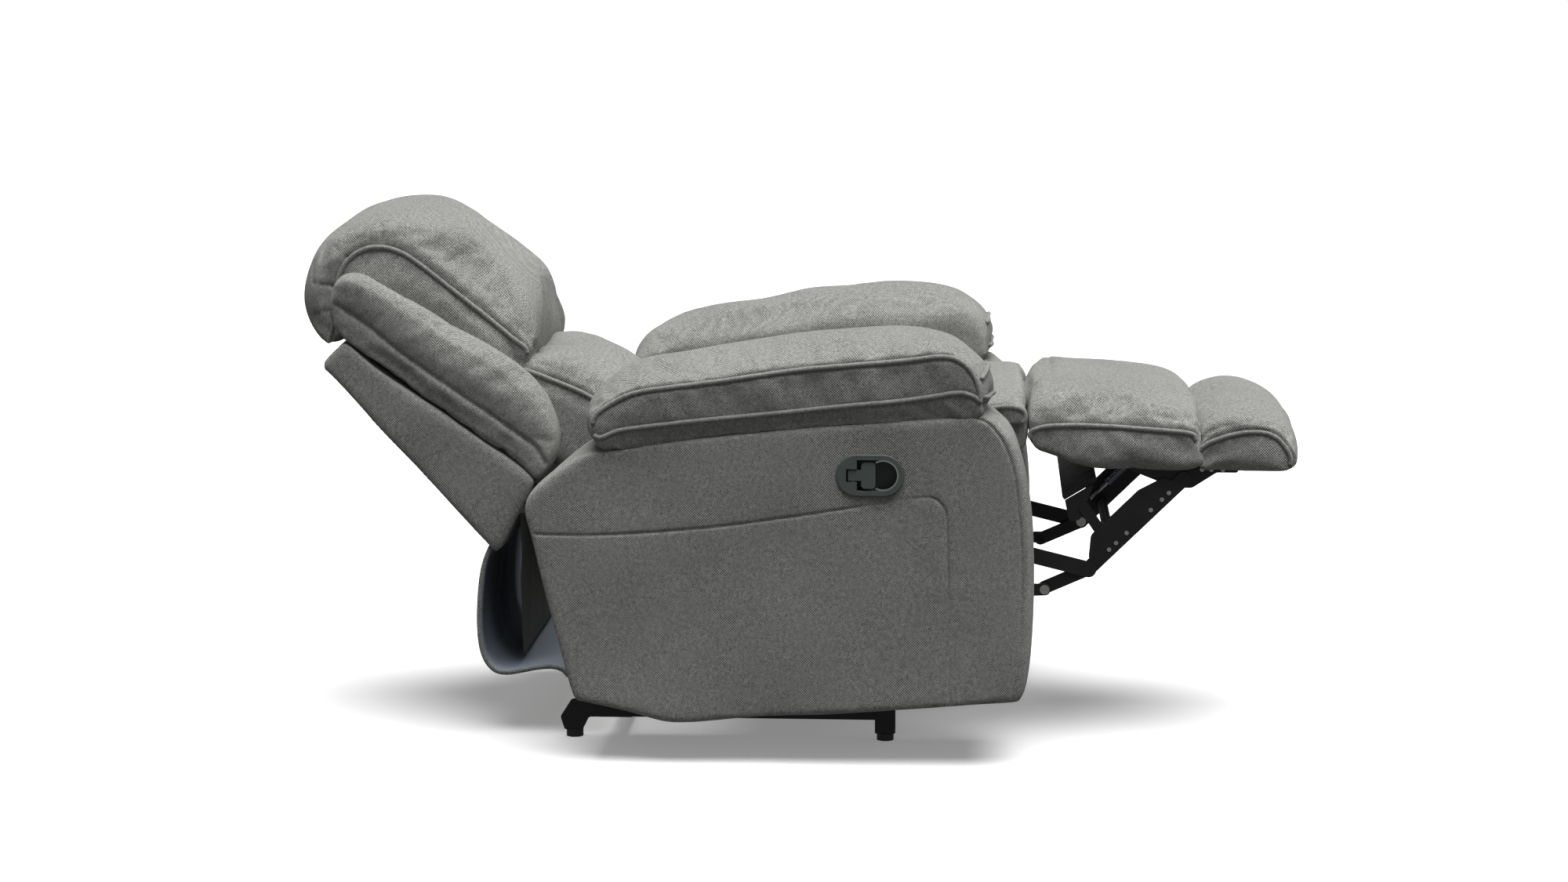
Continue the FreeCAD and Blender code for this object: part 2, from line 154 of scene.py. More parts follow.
class Nodes:
    """Small helper that adds shader nodes and links their inputs."""

    def __init__(self, mat):
        self.tree = mat.node_tree
        self.bsdf = self.tree.nodes["Principled BSDF"]

    def add(self, kind, inputs=(), **props):
        node = self.tree.nodes.new(kind)
        for key, value in props.items():
            setattr(node, key, value)
        for key, value in dict(inputs).items():
            if isinstance(value, bpy.types.NodeSocket):
                self.tree.links.new(value, node.inputs[key])
            else:
                node.inputs[key].default_value = value
        return node

    def math(self, operation, a, b=0.0):
        return self.add("ShaderNodeMath", {0: a, 1: b}, operation=operation).outputs[0]

    def noise(self, vector, scale, detail=2.0, rough=0.5):
        node = self.add("ShaderNodeTexNoise",
                        {"Vector": vector, "Scale": scale, "Detail": detail, "Roughness": rough})
        return node.outputs["Fac"]

    def stretched(self, vector, x, y, z):
        node = self.add("ShaderNodeMapping", {"Vector": vector, "Scale": (x, y, z)})
        return node.outputs[0]

    def mix(self, factor, a, b):
        node = self.add("ShaderNodeMix", {0: factor}, data_type="RGBA")
        for socket, value in ((node.inputs[6], a), (node.inputs[7], b)):
            if isinstance(value, bpy.types.NodeSocket):
                self.tree.links.new(value, socket)
            else:
                socket.default_value = (*value, 1)
        return node.outputs[2]

    def bump(self, height, strength, distance, normal=None):
        inputs = {"Height": height, "Strength": strength, "Distance": distance}
        if normal is not None:
            inputs["Normal"] = normal
        return self.add("ShaderNodeBump", inputs).outputs[0]

    def out(self, **values):
        for key, value in values.items():
            socket = self.bsdf.inputs[key.replace("_", " ")]
            if isinstance(value, bpy.types.NodeSocket):
                self.tree.links.new(value, socket)
            else:
                socket.default_value = value


def weave_height(n, coord, normal, period):
    """A basket weave on whichever plane the surface faces."""
    turn = 2 * math.pi / period
    scaled = n.add("ShaderNodeVectorMath", {0: coord, 1: (turn, turn, turn)}, operation="MULTIPLY").outputs[0]
    wave = n.add("ShaderNodeVectorMath", {0: scaled}, operation="SINE").outputs[0]
    axes = n.add("ShaderNodeSeparateXYZ", {0: wave}).outputs
    facing = n.add("ShaderNodeVectorMath", {0: normal, 1: normal}, operation="MULTIPLY").outputs[0]
    faces = n.add("ShaderNodeSeparateXYZ", {0: facing}).outputs
    total = None
    for i in range(3):
        pair = n.math("MULTIPLY", axes[(i + 1) % 3], axes[(i + 2) % 3])
        term = n.math("MULTIPLY", pair, faces[i])
        total = term if total is None else n.math("ADD", total, term)
    return total


def tweed(name, dark, light, period=0.0042, relief=0.0012):
    """Heathered basket weave: light and dark yarns crossing, with small flecks and soft larger variation."""
    mat = plain(name, light, 0.95)
    n = Nodes(mat)
    coords = n.add("ShaderNodeTexCoord").outputs
    coord = coords["Object"]
    weave = weave_height(n, coord, coords["Normal"], period)
    fleck = n.noise(coord, 620.0, 2.0)
    slub = n.noise(coord, 180.0, 1.0)
    broad = n.noise(coord, 7.0, 1.0)
    tone = n.math("MULTIPLY_ADD", weave, 0.42)
    tone.node.inputs[2].default_value = 0.46
    for source, gain in ((fleck, 1.5), (slub, 0.45), (broad, 0.14)):
        tone = n.math("ADD", tone, n.math("MULTIPLY", n.math("SUBTRACT", source, 0.5), gain))
    tone.node.use_clamp = True
    height = n.math("ADD", n.math("MULTIPLY", weave, 0.7), n.math("MULTIPLY", fleck, 0.6))
    n.out(Base_Color=n.mix(tone, dark, light), Normal=n.bump(height, 1.0, relief))
    n.out(Sheen_Weight=0.08, Sheen_Roughness=0.5)
    return mat


def nonwoven(name, colour):
    mat = plain(name, colour, 0.9)
    n = Nodes(mat)
    coord = n.add("ShaderNodeTexCoord").outputs["Object"]
    fibres = n.noise(n.stretched(coord, 150, 500, 500), 1.0, 3.0)
    dots = n.add("ShaderNodeTexVoronoi", {"Vector": coord, "Scale": 420.0}).outputs["Distance"]
    tone = n.math("ADD", n.math("MULTIPLY", fibres, 0.7), n.math("MULTIPLY", dots, 0.5))
    low = tuple(c * 0.72 for c in colour)
    n.out(Base_Color=n.mix(tone, low, colour), Normal=n.bump(tone, 0.4, 0.0004))
    return mat


def steel(name, colour, rough, metal, wear=0.15):
    mat = plain(name, colour, rough, metal)
    n = Nodes(mat)
    coord = n.add("ShaderNodeTexCoord").outputs["Object"]
    smear = n.noise(coord, 38.0, 3.0)
    grain = n.noise(coord, 700.0, 2.0)
    bright = tuple(min(1.0, c * (1 + wear) + wear * 0.03) for c in colour)
    n.out(Base_Color=n.mix(smear, colour, bright), Normal=n.bump(grain, 0.12, 0.0002))
    rough_out = n.math("MULTIPLY_ADD", smear, 0.25)
    rough_out.node.inputs[2].default_value = max(0.05, rough - 0.12)
    n.out(Roughness=rough_out)
    return mat


def timber(name):
    mat = plain(name, (0.55, 0.38, 0.22), 0.6)
    n = Nodes(mat)
    coord = n.add("ShaderNodeTexCoord").outputs["Object"]
    grain = n.noise(n.stretched(coord, 60, 6, 60), 1.0, 4.0)
    n.out(Base_Color=n.mix(grain, (0.36, 0.23, 0.12), (0.66, 0.48, 0.29)), Normal=n.bump(grain, 0.2, 0.0005))
    return mat


def strap(name):
    mat = plain(name, (0.05, 0.05, 0.05), 0.8)
    n = Nodes(mat)
    coords = n.add("ShaderNodeTexCoord").outputs
    weave = weave_height(n, coords["Object"], coords["Normal"], 0.003)
    n.out(Base_Color=n.mix(weave, (0.03, 0.03, 0.03), (0.09, 0.09, 0.09)), Normal=n.bump(weave, 0.6, 0.0006))
    return mat


# ---- piping ----
CORD_RADIUS = 0.0040
CORD_STEP = 0.006


# ---- outlines ----
def on_back(s, n):
    """(y, z) in metres of a point s mm up the back board and n mm out of its face, from the back pivot."""
    y = BACK_PIVOT.y + 0.001 * (s * math.sin(BACK_LEAN) - n * math.cos(BACK_LEAN))
    z = BACK_PIVOT.z + 0.001 * (s * math.cos(BACK_LEAN) + n * math.sin(BACK_LEAN))
    return (y, z)


def back_points(points):
    return [on_back(*p) for p in points]


def mm(points):
    return [(y * 0.001, z * 0.001) for y, z in points]


def smooth(points, per=8, closed=True):
    """Catmull-Rom through the points, the same number of samples between each two."""
    pts = np.array(points, float)
    n = len(pts)
    out = []
    spans = n if closed else n - 1
    for i in range(spans):
        if closed:
            p0, p1, p2, p3 = pts[i - 1], pts[i], pts[(i + 1) % n], pts[(i + 2) % n]
        else:
            p0, p1, p2, p3 = pts[max(i - 1, 0)], pts[i], pts[i + 1], pts[min(i + 2, n - 1)]
        for k in range(per):
            t = k / per
            out.append(0.5 * ((2 * p1) + (p2 - p0) * t + (2 * p0 - 5 * p1 + 4 * p2 - p3) * t * t
                              + (3 * p1 - p0 - 3 * p2 + p3) * t ** 3))
    if not closed:
        out.append(pts[-1])
    return np.array(out)


# ---- meshes ----
def new_object(name, verts, faces):
    mesh = bpy.data.meshes.new(name)
    mesh.from_pydata([tuple(v) for v in verts], [], faces)
    mesh.validate()
    obj = bpy.data.objects.new(name, mesh)
    bpy.context.collection.objects.link(obj)
    return obj


def loft(name, rings):
    """A closed skin over rings of the same number of points."""
    n = len(rings[0])
    verts = [v for ring in rings for v in ring]
    faces = []
    for i in range(len(rings) - 1):
        for j in range(n):
            k = (j + 1) % n
            faces.append((i * n + j, i * n + k, (i + 1) * n + k, (i + 1) * n + j))
    faces.append(tuple(range(n - 1, -1, -1)))
    last = (len(rings) - 1) * n
    faces.append(tuple(range(last, last + n)))
    obj = new_object(name, verts, faces)
    fix_normals(obj)
    return obj


def fix_normals(obj):
    bm = bmesh.new()
    bm.from_mesh(obj.data)
    bmesh.ops.recalc_face_normals(bm, faces=bm.faces)
    bm.to_mesh(obj.data)
    bm.free()


def pillow(name, middle, edge, x0, x1, power=2.6, stations=21, per=8, first_edge=None, first_power=None):
    """A closed form across X: the outline is middle half-way and shrinks to edge at both ends.

    first_edge and first_power, if given, are for the end at x0."""
    mid, last = smooth(middle, per), smooth(edge, per)
    first = last if first_edge is None else smooth(first_edge, per)
    centre, half = (x0 + x1) / 2, (x1 - x0) / 2
    rings = []
    for i in range(stations):
        t = math.sin(math.pi / 2 * (2 * i / (stations - 1) - 1))
        p = first_power if t < 0 and first_power else power
        blend = 1 - (1 - min(1.0, abs(t)) ** p) ** (1 / p)
        ring = mid * (1 - blend) + (first if t < 0 else last) * blend
        rings.append([(centre + t * half, y, z) for y, z in ring])
    return loft(name, rings)


def coords_of(obj):
    co = np.empty(len(obj.data.vertices) * 3)
    obj.data.vertices.foreach_get("co", co)
    return co.reshape(-1, 3)


def normals_of(obj):
    no = np.empty(len(obj.data.vertices) * 3)
    obj.data.vertices.foreach_get("normal", no)
    return no.reshape(-1, 3)


def set_coords(obj, co):
    obj.data.vertices.foreach_set("co", np.ascontiguousarray(co, float).ravel())
    obj.data.update()


def apply_modifiers(obj):
    graph = bpy.context.evaluated_depsgraph_get()
    mesh = bpy.data.meshes.new_from_object(obj.evaluated_get(graph))
    obj.modifiers.clear()
    obj.data = mesh


def remesh(obj, voxel):
    mod = obj.modifiers.new("remesh", "REMESH")
    mod.mode = "VOXEL"
    mod.voxel_size = voxel
    apply_modifiers(obj)


def relax(obj, times, factor=0.5):
    mod = obj.modifiers.new("smooth", "SMOOTH")
    mod.iterations = times
    mod.factor = factor
    apply_modifiers(obj)


def dense(line, step=0.003):
    """Points every few millimetres along a 3-D polyline, and how far along each is."""
    line = np.asarray(line, float)
    points, far, total = [], [], 0.0
    for a, b in zip(line, line[1:]):
        length = np.linalg.norm(b - a)
        count = max(1, int(length / step))
        for k in range(count):
            points.append(a + (b - a) * k / count)
            far.append(total + length * k / count)
        total += length
    points.append(line[-1])
    far.append(total)
    return np.array(points), np.array(far)


def nearest(co, line):
    """Distance of each vertex from a polyline, and the arc length of the nearest point."""
    points, far = dense(line)
    tree = KDTree(len(points))
    for i, p in enumerate(points):
        tree.insert(p, i)
    tree.balance()
    gap = np.empty(len(co))
    along = np.empty(len(co))
    for i, p in enumerate(co):
        _, index, distance = tree.find(p)
        gap[i] = distance
        along[i] = far[index]
    return gap, along


def inflate(obj, seams, pressure=3.5, cap=0.022, slack=0.035, frames=16):
    """Cloth with pressure and slack, held along its seams."""
    start = coords_of(obj).copy()
    group = obj.vertex_groups.new(name="held")
    for line in seams:
        gap, _ = nearest(start, line)
        for i in np.nonzero(gap < 0.008)[0]:
            group.add([int(i)], 1.0, "REPLACE")
    mod = obj.modifiers.new("cloth", "CLOTH")
    cloth = mod.settings
    cloth.quality = 4
    cloth.mass = 0.3
    cloth.tension_stiffness = cloth.compression_stiffness = 15
    cloth.shear_stiffness = 5
    cloth.bending_stiffness = 0.4
    cloth.use_pressure = True
    cloth.uniform_pressure_force = pressure
    cloth.shrink_min = -slack
    cloth.shrink_max = -slack
    cloth.vertex_group_mass = "held"
    cloth.effector_weights.gravity = 0
    mod.collision_settings.use_collision = False
    scene = bpy.context.scene
    scene.frame_start, scene.frame_end = 1, frames
    mod.point_cache.frame_start, mod.point_cache.frame_end = 1, frames
    for f in range(1, frames + 1):
        scene.frame_set(f)
    graph = bpy.context.evaluated_depsgraph_get()
    moved = obj.evaluated_get(graph).to_mesh()
    co = np.empty(len(moved.vertices) * 3)
    moved.vertices.foreach_get("co", co)
    co = co.reshape(-1, 3)
    obj.modifiers.clear()
    obj.vertex_groups.clear()
    scene.frame_set(1)
    step = co - start
    length = np.linalg.norm(step, axis=1)
    scale = np.minimum(1.0, cap / np.maximum(length, 1e-9))
    set_coords(obj, start + step * scale[:, None])


def nearest_of(co, lines):
    gaps = [nearest(co, line)[0] for line in lines]
    return np.min(gaps, axis=0)


def refine(obj, lines, reach=0.010):
    """Cuts the faces beside these lines finer, so that a narrow seam can be pressed in."""
    near = nearest_of(coords_of(obj), lines) < reach
    bm = bmesh.new()
    bm.from_mesh(obj.data)
    bm.verts.ensure_lookup_table()
    edges = [e for e in bm.edges if near[e.verts[0].index] and near[e.verts[1].index]]
    bmesh.ops.subdivide_edges(bm, edges=edges, cuts=1, use_grid_fill=True)
    bm.normal_update()
    bm.to_mesh(obj.data)
    bm.free()


def groove(obj, lines, width=0.0035, depth=0.003):
    co, no = coords_of(obj), normals_of(obj)
    push = depth * np.exp(-(nearest_of(co, lines) / width) ** 2)
    set_coords(obj, co - no * push[:, None])


def gathers(obj, line, reach=0.03, depth=0.0014, pitch=0.03, seed=1, inside=None):
    """Short folds that run away from a seam, uneven in size and spacing."""
    rng = np.random.RandomState(seed)
    co, no = coords_of(obj), normals_of(obj)
    gap, along = nearest(co, line)
    phases = rng.uniform(0, 6.28, 3)
    share = along / along.max()
    wobble = 0.35 * np.sin(share * 9 + phases[0]) + 0.25 * np.sin(share * 23 + phases[1])
    strength = 0.5 + 0.5 * np.sin(share * 15 + phases[2])
    fold = np.cos(2 * math.pi * (along / pitch + wobble))
    lift = depth * fold * strength * np.exp(-gap / reach) * np.clip(gap / 0.006, 0, 1)
    if inside is not None:
        lift *= np.clip((inside - np.abs(co[:, 0])) / 0.004, 0, 1)
    set_coords(obj, co + no * lift[:, None])


def rumple(obj, size=0.11, depth=0.002, seed=3):
    """Soft, broad unevenness, so that no panel is dead flat."""
    rng = np.random.RandomState(seed)
    co, no = coords_of(obj), normals_of(obj)
    lift = np.zeros(len(co))
    for _ in range(7):
        way = rng.normal(size=3)
        way /= np.linalg.norm(way)
        lift += np.sin(co @ way * 2 * math.pi / (size * rng.uniform(0.6, 1.6)) + rng.uniform(0, 6.28))
    set_coords(obj, co + no * (lift * depth / 2.6)[:, None])


def shade_smooth(obj):
    obj.data.polygons.foreach_set("use_smooth", np.ones(len(obj.data.polygons), bool))
    obj.data.update()


def tube(name, line, radius, sides=10):
    """A round cord along a polyline, as a mesh."""
    pts = np.asarray(line, float)
    n = len(pts)
    rings = []
    up = np.array([1.0, 0, 0])
    for i in range(n):
        way = pts[min(i + 1, n - 1)] - pts[max(i - 1, 0)]
        way = way / max(np.linalg.norm(way), 1e-9)
        side = np.cross(way, up)
        if np.linalg.norm(side) < 1e-3:
            side = np.cross(way, [0, 0, 1.0])
        side /= np.linalg.norm(side)
        up = np.cross(side, way)
        rings.append([pts[i] + radius * (math.cos(a) * side + math.sin(a) * up)
                      for a in np.linspace(0, 2 * math.pi, sides, endpoint=False)])
    obj = loft(name, rings)
    shade_smooth(obj)
    return obj


def upholster(obj, mat, body, *nodes, fill=None, slot="upholstery"):
    shade_smooth(obj)
    obj.data.materials.clear()
    obj.data.materials.append(mat)
    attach(obj, body)
    if nodes:
        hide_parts(*nodes)


def snap(obj, line, lift):
    """The line laid on the finished surface, so that a cord follows its cushion."""
    faces = [tuple(p.vertices) for p in obj.data.polygons]
    tree = BVHTree.FromPolygons([tuple(c) for c in coords_of(obj)], faces)
    out = []
    for p in dense(line, CORD_STEP)[0]:
        spot, normal, _, _ = tree.find_nearest(Vector(p))
        out.append(np.array(spot + normal * lift))
    pts = np.array(out)
    for _ in range(4):
        pts[1:-1] = (pts[:-2] + 2 * pts[1:-1] + pts[2:]) / 4
    return pts


def welt(name, obj, line, body):
    """A piping cord, sunk a little into the surface."""
    cord = tube(name, snap(obj, line, CORD_RADIUS * 0.55), CORD_RADIUS)
    upholster(cord, TWEED_WELT, body)


def at_x(x, outline):
    return np.array([(x, y, z) for y, z in outline])


def cushion(name, middle, edge, half, seams, body, node, fill, power=2.5, voxel=0.006, cap=0.010, fold=0.0014,
            darts=(), pressed=(), size=0.13, seed=1, stations=21, inner=None):
    """A padded piece: outline, cloth pressure, uneven padding, gathers, pressed seams and a welt on each seam.

    seams are (y, z) lines that run along both ends; pressed and darts are 3-D lines pressed in without a welt.
    With inner, an outline and its x, the piece ends there instead, and only the end at half has seams."""
    if inner is None:
        x0, x1 = -half, half
        obj = pillow(name, middle, edge, x0, x1, power=power, stations=stations)
    else:
        x0, x1 = inner[1], half
        obj = pillow(name, middle, edge, x0, x1, power=power, stations=stations, first_edge=inner[0],
                     first_power=2.0)
    remesh(obj, voxel)
    relax(obj, 2)
    ends = [at_x(x, line) for x in ((x0, x1) if inner is None else (x1,)) for line in seams]
    inflate(obj, ends, cap=cap)
    relax(obj, 2)
    rumple(obj, size, 0.0022, seed)
    for k, line in enumerate(ends):
        gathers(obj, line, depth=fold, seed=seed + k, inside=abs(half) - 0.003)
    lines = ends + list(pressed) + list(darts)
    refine(obj, lines)
    groove(obj, ends + list(pressed), 0.0045, 0.0028)
    if darts:
        groove(obj, darts, 0.0035, 0.0035)
    upholster(obj, TWEED, body, node, fill=fill)
    for k, line in enumerate(ends):
        welt("%sWelt_%d" % (name, k), obj, line, body)
    return obj


def inset(points, amount):
    """A closed outline moved inwards, by one amount or by one for each point."""
    pts = np.array(points, float)
    way = np.roll(pts, -1, axis=0) - np.roll(pts, 1, axis=0)
    normal = np.stack([way[:, 1], -way[:, 0]], axis=1)
    normal /= np.linalg.norm(normal, axis=1)[:, None]
    ahead = np.roll(pts, -1, axis=0)
    if np.sum(pts[:, 0] * ahead[:, 1] - ahead[:, 0] * pts[:, 1]) < 0:
        normal = -normal
    gain = np.broadcast_to(np.asarray(amount, float), (len(pts),))
    return [tuple(p) for p in pts - normal * gain[:, None]]


camera()
studio()
TWEED = tweed("tweed", (0.075, 0.077, 0.072), (0.52, 0.52, 0.495))
TWEED_WELT = tweed("tweed_welt", (0.075, 0.077, 0.072), (0.47, 0.47, 0.45), period=0.0030, relief=0.0007)
LINING = nonwoven("lining", (0.30, 0.34, 0.40))
# near-black lining colour: painted shade for the shaded space inside the rear flap
PAINTED_SHADE_LINING = nonwoven("lining_painted_shade", (0.055, 0.062, 0.056))
BLACK = steel("black_paint", (0.008, 0.008, 0.009), 0.45, 0.0, wear=0.15)
ZINC = steel("zinc", (0.62, 0.62, 0.60), 0.35, 1.0)
SPRING = steel("spring_steel", (0.25, 0.29, 0.36), 0.38, 0.9)
GUNMETAL = steel("handle_plastic", (0.072, 0.085, 0.080), 0.42, 0.0, wear=0.3)
CHROME = steel("bright_trim", (0.78, 0.78, 0.78), 0.2, 1.0)
FOOT = steel("foot_plastic", (0.02, 0.02, 0.02), 0.55, 0.0)
WOOD = timber("plywood")
STRAP = strap("webbing")
SHEATH = steel("cable_sheath", (0.025, 0.025, 0.025), 0.45, 0.0)

for slot_name, mat in (("black_steel", BLACK), ("zinc", ZINC), ("spring_steel", SPRING), ("handle_plastic", GUNMETAL),
                       ("bright_trim", CHROME), ("foot_plastic", FOOT), ("timber", WOOD), ("webbing", STRAP),
                       ("cable_sheath", SHEATH), ("upholstery", TWEED), ("lining", LINING)):
    for part in frame["record"]["subparts"]:
        if part["material_slot"] == slot_name:
            node = frame["nodes"][part["node"]]
            node.data.materials.clear()
            node.data.materials.append(mat)

# ---- head pillow ----
HEAD_MID = back_points([(449, -112), (492, -112), (545, -88), (578, -30), (580, 30), (566, 92), (525, 150), (455, 184),
                        (370, 200), (300, 204), (244, 186), (212, 160), (208, 60), (320, 25), (425, -8), (446, -55)])
HEAD_EDGE = back_points([(447, -98), (466, -70), (500, -35), (524, 5), (527, 38), (514, 70), (482, 95), (440, 107),
                         (370, 118), (310, 128), (250, 136), (210, 137), (212, 60), (320, 25), (425, -8), (440, -55)])
CUSHION_HALF = 0.198
head_line = smooth(HEAD_EDGE, 8)[:8 * 11 + 1]
DARTS = (((466, -78), (438, -98)), ((486, -54), (500, -84)), ((508, -22), (542, -52)), ((526, 26), (560, 18)),
         ((507, 80), (536, 104)))
head_darts = []
for side in (-1, 1):
    for near, far in DARTS:
        a, b = back_points([near, far])
        head_darts.append(np.array([(side * CUSHION_HALF, *a), (side * (CUSHION_HALF - 0.018), *b)]))
cushion("HeadPillow", HEAD_MID, HEAD_EDGE, CUSHION_HALF, [head_line], "back", "head_pillow", 0.75, power=2.4,
        cap=0.012, darts=head_darts, seed=11)

# ---- lumbar cushion ----
LUMBAR_MID = back_points([(0, 180), (20, 207), (58, 219), (95, 215), (130, 202), (165, 186), (196, 158), (202, 130),
                          (200, 20), (60, 35), (0, 115)])
LUMBAR_EDGE = back_points([(10, 150), (28, 164), (60, 170), (92, 164), (125, 150), (155, 136), (185, 120), (197, 105),
                           (196, 20), (60, 35), (8, 100)])
lumbar_line = smooth(LUMBAR_EDGE, 8)[:8 * 7 + 1]
cushion("LumbarCushion", LUMBAR_MID, LUMBAR_EDGE, CUSHION_HALF, [lumbar_line], "back", "lumbar_cushion", 0.7,
        power=2.4, cap=0.009, seed=12)

# ---- wings ----
WING_MID = back_points([(48, 14), (50, 45), (72, 80), (105, 102), (150, 113), (205, 113), (255, 102), (325, 81),
                        (395, 60), (450, 42), (494, 26), (509, -4), (486, -44), (440, -62), (362, -50), (287, -36),
                        (213, -18), (139, 1), (90, 12)])
WING_EDGE = back_points([(56, 22), (60, 42), (78, 64), (105, 80), (150, 88), (205, 88), (255, 78), (325, 58),
                         (395, 38), (450, 22), (486, 12), (498, -8), (478, -40), (440, -56), (362, -42), (287, -28),
                         (213, -10), (139, 9), (95, 18)])
WING_SEAM = back_points([(60, 46), (90, 52), (127, 45), (177, 34), (250, 17), (349, -5), (428, -17), (480, -30)])
wing_line = smooth(WING_SEAM, 6, closed=False)
for side in (-1, 1):
    name = "Wing_%s" % "RL"[side > 0]
    x_out = side * SHELL_HIGH[0]
    wing = pillow(name, WING_MID, WING_EDGE, side * 0.196, x_out, power=2.8, stations=15)
    remesh(wing, 0.005)
    relax(wing, 2)
    seam = at_x(x_out, wing_line)
    inflate(wing, [seam], cap=0.008)
    relax(wing, 2)
    rumple(wing, 0.10, 0.0016, 31 + side)
    gathers(wing, seam, depth=0.0014, pitch=0.026, seed=21 + side)
    refine(wing, [seam])
    groove(wing, [seam], 0.0045, 0.005)
    upholster(wing, TWEED, "back", "wing_right" if side < 0 else "wing_left", fill=0.75)

# ---- outside back ----
SHELL = back_points([(6, -119), (5, -104), (14, -78), (24, -50), (38, -10), (48, 9), (64, 12), (100, 7), (139, -2),
                     (213, -20), (287, -38), (362, -52), (424, -60), (431, -72), (432, -90), (426, -118), (400, -120),
                     (300, -120), (200, -120), (100, -120), (30, -120)])
SHELL_EDGE = inset(SHELL, 0.004)
shell = pillow("BackShell", SHELL, SHELL_EDGE, SHELL_LOW[0], SHELL_HIGH[0], power=9, stations=41)
remesh(shell, 0.007)
relax(shell, 1)
rumple(shell, 0.16, 0.0016, 41)
back_seams = [np.array([(x, *on_back(s, -120)) for s in np.linspace(14, 420, 60)]) for x in (-0.185, 0.185)]
refine(shell, back_seams)
groove(shell, back_seams, 0.004, 0.003)
upholster(shell, TWEED, "back", "back_shell", fill=0.4)

# ---- arms ----
ARM = mm([(300, 509), (340, 490), (385, 455), (408, 430), (414, 404), (404, 361), (387, 291), (371, 228), (350, 145),
          (336, 104), (322, 98), (250, 82), (199, 69), (161, 66), (73, 71), (-65, 81), (-178, 89), (-290, 97),
          (-366, 102), (-382, 111), (-391, 145), (-398, 231), (-400, 307), (-397, 382), (-389, 445), (-379, 495),
          (-366, 530), (-346, 553), (-316, 569), (-240, 563), (-100, 553), (60, 538), (200, 521)])
SIDE_SEAM = mm([(398, 372), (323, 371), (248, 374), (172, 380), (72, 391), (-52, 410), (-164, 428), (-226, 437),
                (-246, 432), (-256, 420), (-261, 400), (-263, 330), (-265, 240), (-267, 98)])
FRONT_SEAM = mm([(-306, 566), (-330, 552), (-352, 520), (-368, 470), (-376, 400), (-381, 320), (-378, 200),
                 (-366, 104)])
FRONT_ROUND = 0.026
EDGE_ROUND = 0.012
arms = {}
for side in (-1, 1):
    edge = inset(ARM, [FRONT_ROUND if y < -0.340 else EDGE_ROUND for y, z in ARM])
    x_in, x_out = side * abs(COVER_HIGH[0]), side * abs(COVER_LOW[0])
    arm = pillow("ArmBody_%s" % "RL"[side > 0], ARM, edge, x_in, x_out, power=5, stations=35)
    remesh(arm, 0.006)
    relax(arm, 1)
    seams = [at_x(x_out, smooth(line, 6, closed=False)) for line in (SIDE_SEAM, FRONT_SEAM)]
    inner_front = at_x(x_in, smooth(FRONT_SEAM, 6, closed=False))
    rumple(arm, 0.19, 0.0018, 51 + side)
    gathers(arm, seams[0], depth=0.0008, pitch=0.045, seed=61 + side)
    refine(arm, seams + [inner_front])
    refine(arm, seams + [inner_front], 0.007)
    groove(arm, seams + [inner_front], 0.0026, 0.0032)
    upholster(arm, TWEED, "base", "arm_cover_right" if side < 0 else "arm_cover_left", fill=0.4)
    arms[side] = arm

# pocket for the handle
bezel_y, bezel_z = [(BEZEL_LOW[i] + BEZEL_HIGH[i]) / 2 for i in (1, 2)]
ring = []
for a in np.linspace(0, 2 * math.pi, 48, endpoint=False):
    dy = math.copysign(0.0205, math.cos(a)) + 0.0300 * math.cos(a)
    ring.append((bezel_y + dy, bezel_z + 0.0300 * math.sin(a)))
pocket = loft("pocket", [at_x(x, ring) for x in (COVER_LOW[0] - 0.02, COVER_LOW[0] + 0.042)])
cut = arms[-1].modifiers.new("pocket", "BOOLEAN")
cut.object = pocket
cut.solver = "EXACT"
apply_modifiers(arms[-1])
bpy.data.objects.remove(pocket)

# ---- arm pads ----
PAD_MID = mm([(312, 556), (303, 580), (270, 612), (230, 632), (160, 648), (80, 662), (-20, 679), (-120, 688),
              (-200, 688), (-256, 679), (-288, 660), (-308, 642), (-320, 618), (-322, 590), (-316, 566), (-240, 556),
              (-100, 546), (60, 531), (200, 514), (284, 509), (306, 524)])
PAD_EDGE = mm([(302, 552), (294, 568), (264, 589), (228, 603), (158, 613), (80, 624), (-20, 639), (-120, 649),
               (-198, 656), (-252, 663), (-282, 655), (-300, 638), (-310, 615), (-312, 590), (-306, 568), (-240, 556),
               (-100, 546), (60, 531), (200, 514), (282, 511), (296, 525)])
PAD_INNER = mm([(300, 548), (290, 558), (258, 570), (222, 578), (155, 585), (78, 594), (-20, 606), (-120, 615),
                (-198, 621), (-250, 626), (-278, 622), (-296, 610), (-306, 596), (-308, 584), (-304, 568), (-240, 556),
                (-100, 546), (60, 531), (200, 514), (282, 511), (294, 524)])
LOWER_WELT = mm([(300, 533), (288, 529), (264, 540), (235, 545), (158, 555), (80, 563), (-20, 574), (-120, 585),
                 (-190, 592), (-244, 600), (-276, 606), (-300, 601), (-312, 592)])
PAD_X = (abs(PAD_HIGH[0]) + 0.001, abs(PAD_LOW[0]) - 0.004)
upper = smooth(PAD_EDGE, 8)[:8 * 13 + 1]
lower = smooth(LOWER_WELT, 6, closed=False)
